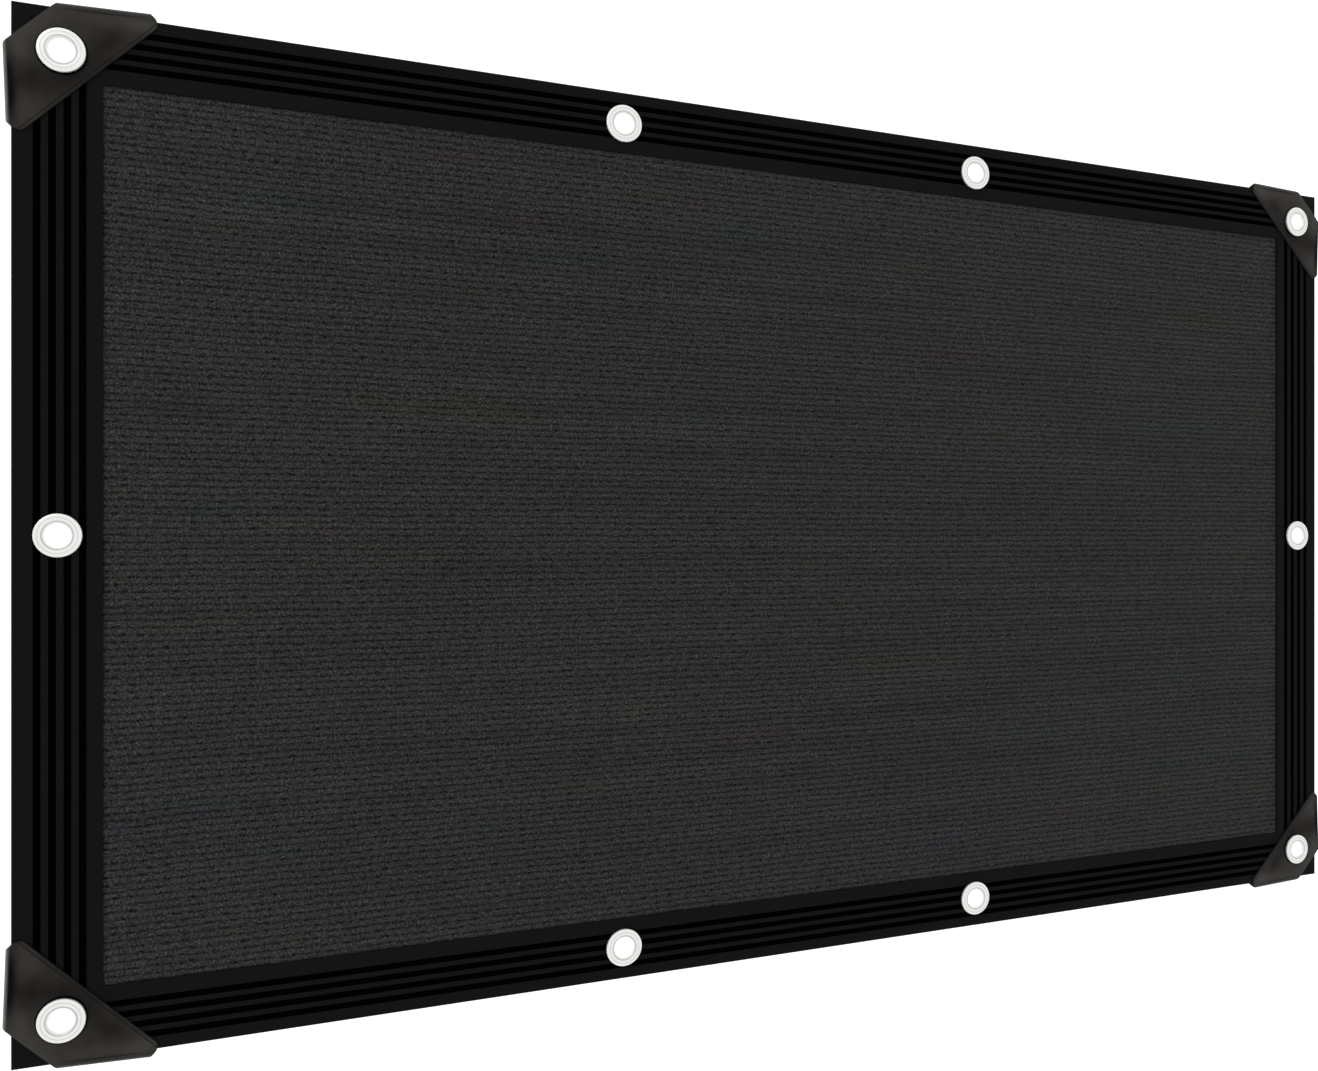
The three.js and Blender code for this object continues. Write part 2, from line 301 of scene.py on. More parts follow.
def knit_group():
    """Rows of knit. Vector counts stitches along X and rows along Y; a row's middle is at a half."""
    group, given, out = shader_group(
        "knit", [("Vector", "NodeSocketVector", None)], ["Gap", "Thread", "Height"],
    )
    place = given["Vector"]
    parts = add_node(group, "ShaderNodeSeparateXYZ", {0: place}).outputs
    row, across = knit_rows(group, place, parts[1])
    chance = add_node(group, "ShaderNodeTexWhiteNoise", {"W": row}, noise_dimensions="1D").outputs["Value"]
    jitter = stretched_noise(group, place, (0.3, 1.0, 1.0))
    stitch = calc(group, "MULTIPLY_ADD", chance, 9.0, calc(group, "MULTIPLY_ADD", jitter, 4.0, parts[0]))
    region = stretched_noise(group, place, (0.06, 0.2, 1.0))
    lean = calc(group, "MULTIPLY_ADD", region, 7.0, -3.5)
    slanted = calc(group, "MULTIPLY_ADD", lean, across, stitch)
    wave = calc(group, "SINE", calc(group, "MULTIPLY", slanted, math.tau))
    streak = smooth_step(group, wave, -0.9, 0.9)
    fibres = smooth_step(group, stretched_noise(group, place, (1.7, 3.4, 1.0), 3.0), 0.32, 0.68)
    dots = calc(group, "SINE", calc(group, "MULTIPLY", stitch, math.tau))
    dot = smooth_step(group, dots, -0.6, 0.7)
    edge = smooth_step(group, calc(group, "ABSOLUTE", across), 0.22, 0.42)
    broken = smooth_step(group, stretched_noise(group, place, (0.5, 1.0, 1.0), 3.0), 0.4, 0.6)
    dotted = calc(group, "MULTIPLY_ADD", dot, 0.65, calc(group, "MULTIPLY", broken, 0.35))
    gap = calc(group, "MULTIPLY", edge, dotted)
    holes = calc(group, "MULTIPLY", gap, calc(group, "MULTIPLY_ADD", broken, 0.7, 0.3))
    # The yarn is darker towards the row edges, beside the holes
    body = calc(group, "SUBTRACT", 1.0, calc(group, "MULTIPLY", edge, 0.35))
    loops = calc(group, "MULTIPLY_ADD", streak, 0.4, 0.6)
    thread = calc(group, "MULTIPLY", calc(group, "MULTIPLY", loops, body), fibres)
    height = calc(group, "SUBTRACT", calc(group, "MULTIPLY", loops, fibres), holes)
    group.links.new(holes, out["Gap"])
    group.links.new(thread, out["Thread"])
    group.links.new(height, out["Height"])
    return group


def weave_group():
    """Plain weave. Vector is in metres along and across the cloth, and Pitch is from yarn to yarn."""
    group, given, out = shader_group(
        "weave",
        [("Vector", "NodeSocketVector", None), ("Pitch", "NodeSocketFloat", 0.9 * MM)],
        ["Height", "Crossing"],
    )
    parts = add_node(group, "ShaderNodeSeparateXYZ", {0: given["Vector"]}).outputs
    turn = calc(group, "DIVIDE", math.pi, given["Pitch"])
    along = calc(group, "SINE", calc(group, "MULTIPLY", parts[0], turn))
    across = calc(group, "SINE", calc(group, "MULTIPLY", parts[1], turn))
    crossing = calc(group, "MULTIPLY_ADD", calc(group, "MULTIPLY", along, across), 0.5, 0.5)
    ridge = calc(group, "MAXIMUM", calc(group, "ABSOLUTE", along), calc(group, "ABSOLUTE", across))
    group.links.new(calc(group, "MULTIPLY", ridge, crossing), out["Height"])
    group.links.new(crossing, out["Crossing"])
    return group


def grain_group():
    """Leather grain: small pebbles with finer pores between them."""
    group, given, out = shader_group(
        "grain", [("Vector", "NodeSocketVector", None), ("Scale", "NodeSocketFloat", 650.0)], ["Height"],
    )
    pebbles = add_node(group, "ShaderNodeTexVoronoi", {"Vector": given["Vector"], "Scale": given["Scale"]},
                       feature="SMOOTH_F1").outputs["Distance"]
    finer = calc(group, "MULTIPLY", given["Scale"], 2.5)
    pores = add_node(group, "ShaderNodeTexNoise", {"Vector": given["Vector"], "Scale": finer}).outputs[0]
    raised = calc(group, "SUBTRACT", 1.0, pebbles)
    group.links.new(calc(group, "MULTIPLY_ADD", pores, 0.4, raised), out["Height"])
    return group


MOTTLE = mottle_group()
KNIT = knit_group()
WEAVE = weave_group()
GRAIN = grain_group()


def use_group(tree, group, values):
    return add_node(tree, "ShaderNodeGroup", values, node_tree=group).outputs


def mottle(tree, place, cloud_scale, speck_scale):
    values = {"Vector": place, "Cloud Scale": cloud_scale, "Speck Scale": speck_scale}
    return use_group(tree, MOTTLE, values)


def new_material(name, roughness, metallic=0.0, specular=0.5):
    material = bpy.data.materials.new(name)
    material.use_nodes = True
    tree = material.node_tree
    shader = tree.nodes["Principled BSDF"]
    shader.inputs["Roughness"].default_value = roughness
    shader.inputs["Metallic"].default_value = metallic
    shader.inputs["Specular IOR Level"].default_value = specular
    return material, tree, shader


def set_colour(tree, shader, colour):
    tree.links.new(colour, shader.inputs["Base Color"])


def bump(tree, shader, height, distance, strength=1.0):
    node = add_node(tree, "ShaderNodeBump", {"Height": height, "Distance": distance, "Strength": strength})
    tree.links.new(node.outputs[0], shader.inputs["Normal"])


def object_place(tree):
    return tree.nodes.new("ShaderNodeTexCoord").outputs["Object"]


def uv_place(tree, name):
    return add_node(tree, "ShaderNodeUVMap", uv_map=name).outputs[0]


def attribute(tree, name):
    return add_node(tree, "ShaderNodeAttribute", attribute_name=name).outputs["Fac"]


def dyed_streaks(tree, place):
    """A colour near mid grey that drifts between lots of yarn, in long streaks along the rows."""
    scaled = vector_calc(tree, "MULTIPLY", {0: place, 1: (7.0, 40.0, 1.0)})
    return add_node(tree, "ShaderNodeTexNoise", {"Vector": scaled, "Scale": 1.0}).outputs[1]


def net_material():
    material, tree, shader = new_material("knitted_net", roughness=0.75, specular=0.06)
    knit = use_group(tree, KNIT, {"Vector": uv_place(tree, "knit")})
    place = object_place(tree)
    uneven = mottle(tree, place, 22.0, 650.0)
    bands = stretched_noise(tree, place, (3.0, 95.0, 1.0))
    yarn = mix_colour(tree, knit["Thread"], grey(YARN_DARK), grey(YARN_LIGHT))
    # The knit's holes are painted near black, as painted shade between the yarns
    shaded = mix_colour(tree, knit["Gap"], yarn, grey(KNIT_GAP_SHADE))
    clouds = calc(tree, "MULTIPLY_ADD", uneven["Clouds"], 0.2, calc(tree, "MULTIPLY_ADD", bands, 0.5, 0.65))
    specks = calc(tree, "MULTIPLY_ADD", uneven["Specks"], 1.6, 0.2)
    level = calc(tree, "MULTIPLY", clouds, specks)
    streaks = dyed_streaks(tree, place)
    cast = vector_calc(tree, "MULTIPLY_ADD", {0: streaks, 1: (0.34, 0.34, 0.34), 2: (0.82, 0.82, 0.82)})
    tinted = vector_calc(tree, "SCALE", {0: cast, "Scale": level})
    set_colour(tree, shader, mix_colour(tree, 1.0, shaded, tinted, "MULTIPLY"))
    bump(tree, shader, knit["Height"], 0.3 * MM)
    return material


def tape_material():
    material, tree, shader = new_material("binding_tape", roughness=0.75, specular=0.03)
    weave = use_group(tree, WEAVE, {"Vector": uv_place(tree, "tape"), "Pitch": WEAVE_PITCH})
    uneven = mottle(tree, object_place(tree), 20.0, 900.0)
    woven = mix_colour(tree, weave["Crossing"], grey(TAPE_DARK), grey(TAPE_LIGHT))
    cloudy = calc(tree, "MULTIPLY", uneven["Clouds"], 0.3)
    set_colour(tree, shader, mix_colour(tree, cloudy, woven, grey(TAPE_CLOUD)))
    bump(tree, shader, weave["Height"], 0.1 * MM, 0.6)
    return material


def channel_shade_material():
    # The channel floors are painted near black: painted shade in the sunk channels
    material, tree, shader = new_material("painted_channel_shade", roughness=0.9, specular=0.004)
    weave = use_group(tree, WEAVE, {"Vector": uv_place(tree, "tape"), "Pitch": WEAVE_PITCH})
    blacks = mix_colour(tree, weave["Crossing"], grey(CHANNEL_SHADE_DARK), grey(CHANNEL_SHADE_LIGHT))
    set_colour(tree, shader, blacks)
    bump(tree, shader, weave["Height"], 0.1 * MM, 0.5)
    return material


def thread_material():
    material, tree, shader = new_material("sewing_thread", roughness=0.8, specular=0.01)
    uneven = mottle(tree, object_place(tree), 60.0, 2500.0)
    blacks = mix_colour(tree, uneven["Specks"], grey(THREAD_DARK), grey(THREAD_LIGHT))
    set_colour(tree, shader, blacks)
    bump(tree, shader, uneven["Specks"], 0.05 * MM)
    return material


def line_at(tree, distance, line):
    """1 where the distance is the line's, falling to 0 over its width each way."""
    away = calc(tree, "ABSOLUTE", calc(tree, "SUBTRACT", distance, line["at"]))
    return smooth_step(tree, away, line["width"], 0.0)


def leather_lines(tree, hem, fold):
    """Painted shade in the lines pressed into the leather: beside the hem, round the eyelet and along the
    long fold.
    """
    beside_hem = calc(tree, "MULTIPLY", line_at(tree, hem, HEM_LINE), 0.6)
    ring = line_at(tree, attribute(tree, "eyelet_distance"), EYELET_LINE)
    crease = calc(tree, "MULTIPLY", line_at(tree, fold, FOLD_LINE), attribute(tree, "long_crease_shade"))
    return calc(tree, "MAXIMUM", calc(tree, "MAXIMUM", beside_hem, ring), crease)


def leather_material():
    material, tree, shader = new_material("corner_leather", roughness=0.5)
    place = object_place(tree)
    grain = use_group(tree, GRAIN, {"Vector": place})
    uneven = mottle(tree, place, 150.0, 1400.0)
    light_and_shade = attribute(tree, "light_and_shade")
    hem = attribute(tree, "hem_distance")
    fold = attribute(tree, "fold_arc")
    clouded = calc(tree, "MULTIPLY_ADD", uneven["Clouds"], 1.4, -0.2)
    brown = mix_colour(tree, clouded, LEATHER_BROWN, LEATHER_LIGHT_BROWN)
    # Painted light and shade: paler as a painted highlight where the value is above 0, darker as painted
    # shade below
    lit = add_node(tree, "ShaderNodeClamp", {"Value": light_and_shade}).outputs[0]
    shaded = add_node(tree, "ShaderNodeClamp", {"Value": calc(tree, "MULTIPLY", light_and_shade, -1.0)}).outputs[0]
    highlighted = mix_colour(tree, lit, brown, LEATHER_HIGHLIGHT)
    dark = mix_colour(tree, shaded, highlighted, grey(LEATHER_SHADE))
    # The fold's crest is painted paler: painted sheen, partly scuffed wear, less on the long fold
    crest = calc(tree, "MULTIPLY", line_at(tree, fold, FOLD_CREST), attribute(tree, "wear_and_sheen"))
    scuffed_sheen = calc(tree, "MULTIPLY", crest, calc(tree, "MULTIPLY_ADD", clouded, 0.5, 0.5))
    worn_and_lit = mix_colour(tree, scuffed_sheen, dark, LEATHER_WORN_SHEEN)
    # The pressed lines are painted near black as shade
    lines = leather_lines(tree, hem, fold)
    set_colour(tree, shader, mix_colour(tree, lines, worn_and_lit, grey(LEATHER_LINE_SHADE)))
    roughness = calc(tree, "MULTIPLY_ADD", uneven["Clouds"], 0.25, 0.4)
    tree.links.new(roughness, shader.inputs["Roughness"])
    # Less reflection where the leather is painted shade, in its pressed lines and along the hem's lip
    hidden = calc(tree, "MAXIMUM", shaded, calc(tree, "MAXIMUM", lines, line_at(tree, hem, HEM_LIP)))
    tree.links.new(calc(tree, "MULTIPLY_ADD", hidden, -0.08, 0.09), shader.inputs["Specular IOR Level"])
    height = calc(tree, "MULTIPLY_ADD", lines, -3.0, grain["Height"])
    bump(tree, shader, height, 0.06 * MM, 0.7)
    return material


def metal_material():
    material, tree, shader = new_material("eyelet_metal", roughness=0.28, metallic=1.0)
    uneven = mottle(tree, object_place(tree), 160.0, 2200.0)
    barrel = attribute(tree, "barrel")
    silver = mix_colour(tree, uneven["Clouds"], SILVER, BRIGHT_SILVER)
    # The flange's grooves are painted darker, as painted shade in them
    groove_shaded = mix_colour(tree, attribute(tree, "groove"), silver, GROOVE_SHADE_SILVER)
    # The barrel's inside is painted near white as light, paler than the same metal on the flange
    set_colour(tree, shader, mix_colour(tree, barrel, groove_shaded, grey(BARREL_LIT)))
    tree.links.new(calc(tree, "MULTIPLY_ADD", barrel, 0.45, 0.55), shader.inputs["Metallic"])
    tree.links.new(calc(tree, "MULTIPLY_ADD", uneven["Specks"], 0.2, 0.22), shader.inputs["Roughness"])
    bump(tree, shader, uneven["Specks"], 0.015 * MM)
    return material


def floor_material():
    material, tree, shader = new_material("pale_floor", roughness=0.9, specular=0.1)
    shader.inputs["Base Color"].default_value = grey(FLOOR_GREY)
    shader.inputs["Emission Color"].default_value = grey(1.0)
    shader.inputs["Emission Strength"].default_value = FLOOR_GLOW
    return material


# Making pieces

def finished(bm, name, materials, nodes, smooth_angle=40.0):
    """Turns the mesh into a piece of the object that stands for those CAD nodes."""
    mesh = bpy.data.meshes.new(name)
    bm.to_mesh(mesh)
    bm.free()
    for material in materials:
        mesh.materials.append(material)
    mesh.shade_smooth()
    mesh.set_sharp_from_angle(angle=math.radians(smooth_angle))
    piece = bpy.data.objects.new(name, mesh)
    bpy.context.scene.collection.objects.link(piece)
    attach(piece, "root")
    if nodes:
        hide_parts(*nodes)
    return piece


def smooth_share(value):
    value = min(max(value, 0.0), 1.0)
    return value * value * (3.0 - 2.0 * value)


def settled(place, low, high, covered):
    """0 under the tape, 1 where the net lies on the surface."""
    inside = min(place - low, high - place) - covered
    return smooth_share(inside / SETTLE_RUN)


def knitted_net(material):
    """The net: one ridge a row, held in the tapes and lying on the surface inside its border."""
    low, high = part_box("net_panel")
    covered_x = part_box("tape_left")[1].x - low.x
    covered_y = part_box("tape_bottom")[1].y - low.y
    drop = high.z - low.z - NET_THICKNESS
    bm = bmesh.new()
    bmesh.ops.create_grid(bm, x_segments=NET_COLUMNS, y_segments=ROW_COUNT * LINES_PER_ROW, size=0.5)
    size = high - low
    bmesh.ops.scale(bm, vec=(size.x, size.y, 1.0), verts=bm.verts)
    counted = bm.loops.layers.uv.new("knit")
    for face in bm.faces:
        for loop in face.loops:
            place = loop.vert.co
            loop[counted].uv = (place.x / STITCH_PITCH, (place.y - low.y) / size.y * ROW_COUNT)
    for vert in bm.verts:
        x, y = vert.co.x, vert.co.y
        row = (y - low.y) / size.y * ROW_COUNT
        ridge = 0.5 - 0.5 * math.cos(math.tau * row)
        down = drop * settled(x, low.x, high.x, covered_x) * settled(y, low.y, high.y, covered_y)
        vert.co.z = high.z - down - ROW_RELIEF * (1.0 - ridge ** 0.7)
        vert.co.y += ROW_WANDER * noise.noise(Vector((x * WANDER_SCALE[0], y * WANDER_SCALE[1], 0.5)))
    bmesh.ops.recalc_face_normals(bm, faces=bm.faces)
    if bm.faces[0].normal.z < 0:
        bmesh.ops.reverse_faces(bm, faces=bm.faces)
    piece = finished(bm, "knitted_net", [material], ["net_panel"], smooth_angle=80.0)
    sheet = piece.modifiers.new("sheet", "SOLIDIFY")
    sheet.thickness = NET_SHEET
    sheet.offset = -1.0
    return piece


def merged_copy(node):
    """A copy of a CAD node with its points joined and its flat faces made whole."""
    bm = bmesh.new()
    bm.from_mesh(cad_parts[node].data)
    bmesh.ops.remove_doubles(bm, verts=bm.verts, dist=MERGE_DISTANCE)
    bmesh.ops.dissolve_limit(bm, angle_limit=math.radians(1.0), verts=bm.verts, edges=bm.edges)
    return bm


def everything(bm):
    return bm.verts[:] + bm.edges[:] + bm.faces[:]


def runs_along(edge, axis):
    span = edge.verts[1].co - edge.verts[0].co
    return abs(span[axis]) > 0.999 * span.length


def bevel_edges(bm, edges, width, segments):
    bmesh.ops.bevel(bm, geom=edges, offset=width, offset_type="OFFSET", affect="EDGES", segments=segments,
                    profile=0.5, material=-1, clamp_overlap=True)


def close_mitres(bm, axis, side):
    """Moves a tape's slanted ends out along it, so that they meet the next tape's."""
    if axis == 0:
        width, across = LONG_TAPE_WIDTH, SIDE_TAPE_WIDTH
        half, outer = HALF_LENGTH, HALF_HEIGHT
    else:
        width, across = SIDE_TAPE_WIDTH, LONG_TAPE_WIDTH
        half, outer = HALF_HEIGHT, HALF_LENGTH
    for vert in bm.verts:
        mitre = half - (outer - abs(vert.co[side])) * across / width
        short = mitre - abs(vert.co[axis])
        if short < MITRE_REACH:
            vert.co[axis] += math.copysign(short - MITRE_GAP, vert.co[axis])


def to_corner(place):
    """How far a place lies from the nearest corner of the cloth, along one edge and then the other."""
    return HALF_LENGTH - abs(place.x) + HALF_HEIGHT - abs(place.y)


def split_at_corners(bm):
    """Splits a tape's faces just under each patch's tip, so that the corner outside it can be plain."""
    for side_x in (-1, 1):
        for side_y in (-1, 1):
            point = Vector((side_x * (HALF_LENGTH - PLAIN_CORNER), side_y * HALF_HEIGHT, 0))
            outwards = Vector((side_x, side_y, 0)).normalized()
            bmesh.ops.bisect_plane(bm, geom=everything(bm), plane_co=point, plane_no=outwards,
                                   dist=CUT_TOLERANCE)


def is_channel_floor(face):
    middle = face.calc_center_median()
    below_face = (FACE_Z - BACK_Z) / 2 - abs(middle.z - MIDDLE_Z)
    level = abs(face.normal.z) > 0.9 and 0.6 * CHANNEL_DEPTH < below_face < 1.2 * CHANNEL_DEPTH
    return level and to_corner(middle) > PLAIN_CORNER


def binding_tape(node, woven, channel):
    """One folded tape: a round fold, soft channel lips, and its weave laid along its length."""
    axis = 0 if node in LONG_TAPES else 1
    side = 1 - axis
    low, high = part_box(node)
    outer = max(abs(low[side]), abs(high[side]))
    bm = merged_copy(node)
    close_mitres(bm, axis, side)
    fold = [e for e in bm.edges if runs_along(e, axis)
            and outer - max(abs(v.co[side]) for v in e.verts) < FOLD_REACH]
    bevel_edges(bm, fold, FOLD_ROUND, 3)
    lips = [e for e in bm.edges if runs_along(e, axis) and e.is_manifold and e.calc_face_angle() > 1.0]
    bevel_edges(bm, lips, LIP_ROUND, 2)
    split_at_corners(bm)
    laid = bm.loops.layers.uv.new("tape")
    for face in bm.faces:
        # Channel floors away from the corners take the second material, painted near black as shade
        face.material_index = 1 if is_channel_floor(face) else 0
        for loop in face.loops:
            loop[laid].uv = (loop.vert.co[axis], loop.vert.co[side])
    return finished(bm, node.replace("tape", "woven_tape"), [woven, channel], [node])


def evaluated_mesh(piece):
    bpy.context.view_layer.update()
    graph = bpy.context.evaluated_depsgraph_get()
    return bpy.data.meshes.new_from_object(piece.evaluated_get(graph))


def stitch_block(first, step_along, count_along, step_across):
    """Sewing stitches on a grid, as one mesh: a row along each channel."""
    bm = bmesh.new()
    bmesh.ops.create_uvsphere(bm, u_segments=6, v_segments=4, radius=0.5)
    along_x = step_along.x > 0
    length = (SEAM_STITCH, THREAD_WIDTH) if along_x else (THREAD_WIDTH, SEAM_STITCH)
    bmesh.ops.scale(bm, vec=(length[0], length[1], 2 * THREAD_HEIGHT), verts=bm.verts)
    bmesh.ops.translate(bm, vec=first, verts=bm.verts)
    mesh = bpy.data.meshes.new("stitch")
    bm.to_mesh(mesh)
    bm.free()
    maker = bpy.data.objects.new("stitch", mesh)
    bpy.context.scene.collection.objects.link(maker)
    for count, step in ((count_along, step_along), (CHANNEL_COUNT, step_across)):
        rows = maker.modifiers.new("rows", "ARRAY")
        rows.count = count
        rows.use_relative_offset = False
        rows.use_constant_offset = True
        rows.constant_offset_displace = step
    made = evaluated_mesh(maker)
    bpy.data.objects.remove(maker)
    return made


def near_hole(place):
    nearest = min((place.xy - centre).length for centre in EYELET_CENTRES.values())
    return nearest < PUNCHED_RADIUS + HOLE_MARGIN


def seam_rows(node, material):
    """The rows of stitches in one tape's channels, on both faces, left out where a hole is punched."""
    axis = 0 if node in LONG_TAPES else 1
    channels, sewn = (LONG_CHANNELS, LONG_SEWN) if axis == 0 else (SIDE_CHANNELS, SIDE_SEWN)
    low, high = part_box(node)
    inwards = -1 if node in ("tape_top", "tape_right") else 1
    outer = high[1 - axis] if inwards < 0 else low[1 - axis]
    count = int(sewn / SEAM_PITCH)
    first, along, across = Vector(), Vector(), Vector()
    first[axis] = -(count - 1) * SEAM_PITCH / 2
    first[1 - axis] = outer + inwards * (channels["start"] + channels["width"] / 2)
    first.z = FACE_Z - CHANNEL_DEPTH
    along[axis] = SEAM_PITCH
    across[1 - axis] = inwards * channels["pitch"]
    made = stitch_block(first, along, count, across)
    bm = bmesh.new()
    bm.from_mesh(made)
    bpy.data.meshes.remove(made)
    in_holes = set()
    for vert in bm.verts:
        if near_hole(vert.co):
            in_holes.update(linked_verts(vert))
    bmesh.ops.delete(bm, geom=list(in_holes), context="VERTS")
    to_back = (0, 0, BACK_Z - FACE_Z + 2 * CHANNEL_DEPTH)
    bmesh.ops.translate(bm, vec=to_back, verts=doubled(bm))
    return finished(bm, node.replace("tape", "seam"), [material], [], smooth_angle=80.0)


def doubled(bm):
    """Doubles the whole mesh in place and gives the new points."""
    copied = bmesh.ops.duplicate(bm, geom=everything(bm))["geom"]
    return [item for item in copied if isinstance(item, bmesh.types.BMVert)]


def linked_verts(vert):
    """All the points of the separate shell that a point belongs to."""
    found, todo = {vert}, [vert]
    while todo:
        for edge in todo.pop().link_edges:
            for other in edge.verts:
                if other not in found:
                    found.add(other)
                    todo.append(other)
    return found


def patch_face(low, high):
    """The front half of a patch as a sheet: the cloth's corner at the origin, a long tape along +X."""
    radius = (high.z - low.z - PATCH_LAYER) / 2
    centre = radius - (PATCH_PROUD - PATCH_LAYER / 2)
    reach = radius * math.pi / 2 - centre
    span = PATCH_SPAN + reach
    bm = bmesh.new()
    bmesh.ops.create_grid(bm, x_segments=PATCH_CELLS, y_segments=PATCH_CELLS, size=span / 2)
    bmesh.ops.translate(bm, vec=(span / 2 - reach, span / 2 - reach, 0), verts=bm.verts)
    fold_round(bm, centre, radius)
    pivot = Matrix.Translation((PATCH_PIVOT, PATCH_PIVOT, 0))
    lean = pivot @ Matrix.Rotation(-PATCH_LEAN, 4, "Z") @ pivot.inverted()
    bmesh.ops.transform(bm, matrix=lean, verts=bm.verts)
    trim_patch(bm)
    eyelet_place = Vector((EYELET_IN, EYELET_IN))
    open_hole(bm, eyelet_place)
    press_forms(bm, eyelet_place)
    return bm


def place_in_corner(bm, quarter):
    """Turns a patch into its corner of the cloth, mirrored where its long tape would be a side tape."""
    if quarter % 2:
        mirror = Matrix.Scale(-1, 4, Vector((1, -1, 0)).normalized())
        bmesh.ops.transform(bm, matrix=mirror, verts=bm.verts)
    bmesh.ops.remove_doubles(bm, verts=bm.verts, dist=PATCH_MERGE)
    bmesh.ops.recalc_face_normals(bm, faces=bm.faces)
    side_x, side_y = [(-1, -1), (1, -1), (1, 1), (-1, 1)][quarter]
    turn = Matrix.Rotation(quarter * math.pi / 2, 4, "Z")
    place = Matrix.Translation((side_x * HALF_LENGTH, side_y * HALF_HEIGHT, MIDDLE_Z))
    bmesh.ops.transform(bm, matrix=place @ turn, verts=bm.verts)


def corner_patch(corner, material):
    """A leather strip folded over both edges of a corner: its front half, then the same for the back."""
    node = "patch_" + corner
    bm = patch_face(*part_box(node))
    bmesh.ops.scale(bm, vec=(1, 1, -1), verts=doubled(bm))
    place_in_corner(bm, CORNERS.index(corner))
    piece = finished(bm, "leather_" + corner, [material], [node], smooth_angle=60.0)
    layer = piece.modifiers.new("layer", "SOLIDIFY")
    layer.thickness = PATCH_LAYER
    layer.offset = 0.0
    soft = piece.modifiers.new("soft_edges", "BEVEL")
    soft.width = LEATHER_EDGE_ROUND
    soft.segments = 2
    soft.limit_method = "ANGLE"
    soft.angle_limit = math.radians(50)
    return piece


def fold_round(bm, centre, radius):
    """Rolls the flat sheet round two fold lines, keeping each point's distance past the nearer one."""
    fold_arc = bm.verts.layers.float.new("fold_arc")
    for vert in bm.verts:
        vert[fold_arc] = centre - min(vert.co.x, vert.co.y)
        drop = 0.0
        for axis in (0, 1):
            beyond = centre - vert.co[axis]
            if beyond > 0:
                angle = min(beyond / radius, math.pi / 2)
                vert.co[axis] = centre - radius * math.sin(angle)
                drop = max(drop, 1.0 - math.cos(angle))
        vert.co.z = radius * (1.0 - drop)


def trim_patch(bm):
    """Cuts the sheet to the strip's outline, seen from above."""
    cuts = [
        (Vector((PATCH_TIP, 0, 0)), Vector((-1, -1, 0))),
        (Vector((PATCH_SPAN, 0, 0)), Vector((1, 1, 0))),
        (Vector((PATCH_LONG_END, 0, 0)), Vector((1, -1, 0))),
        (Vector((0, PATCH_SIDE_END, 0)), Vector((-1, 1, 0))),
    ]
    for end in PATCH_ROUNDS:
        for angle in range(end["from"], end["from"] + 91, ROUND_STEP):
            outwards = Vector((math.cos(math.radians(angle)), math.sin(math.radians(angle)), 0))
            cuts.append((end["centre"] + outwards * end["radius"], outwards))
    for point, outwards in cuts:
        bmesh.ops.bisect_plane(bm, geom=everything(bm), plane_co=point, plane_no=outwards.normalized(),
                               clear_outer=True, dist=CUT_TOLERANCE)


def open_hole(bm, centre):
    """Opens a round hole, spreading the sheet's faces out from its middle."""
    inner = [v for v in bm.verts if (v.co.xy - centre).length < HOLE_START]
    bmesh.ops.delete(bm, geom=inner, context="VERTS")
    for vert in bm.verts:
        offset = vert.co.xy - centre
        if offset.length < HOLE_REACH:
            share = 0.0 if vert.is_boundary else (offset.length - HOLE_START) / (HOLE_REACH - HOLE_START)
            wanted = PUNCHED_RADIUS + share * (HOLE_REACH - PUNCHED_RADIUS)
            vert.co.xy = centre + offset.normalized() * wanted


def form_at(place, form):
    """How much of a soft form there is at a place, from 0 to 1."""
    away = Vector((place.x / MM - form["at"][0], place.y / MM - form["at"][1]))
    away.rotate(Matrix.Rotation(-math.radians(form["turn"]), 2))
    return math.exp(-(away.x / form["reach"][0]) ** 2 - (away.y / form["reach"][1]) ** 2)


def dented(distance, dent):
    return dent["depth"] * math.exp(-((distance - dent["at"]) / dent["width"]) ** 2)


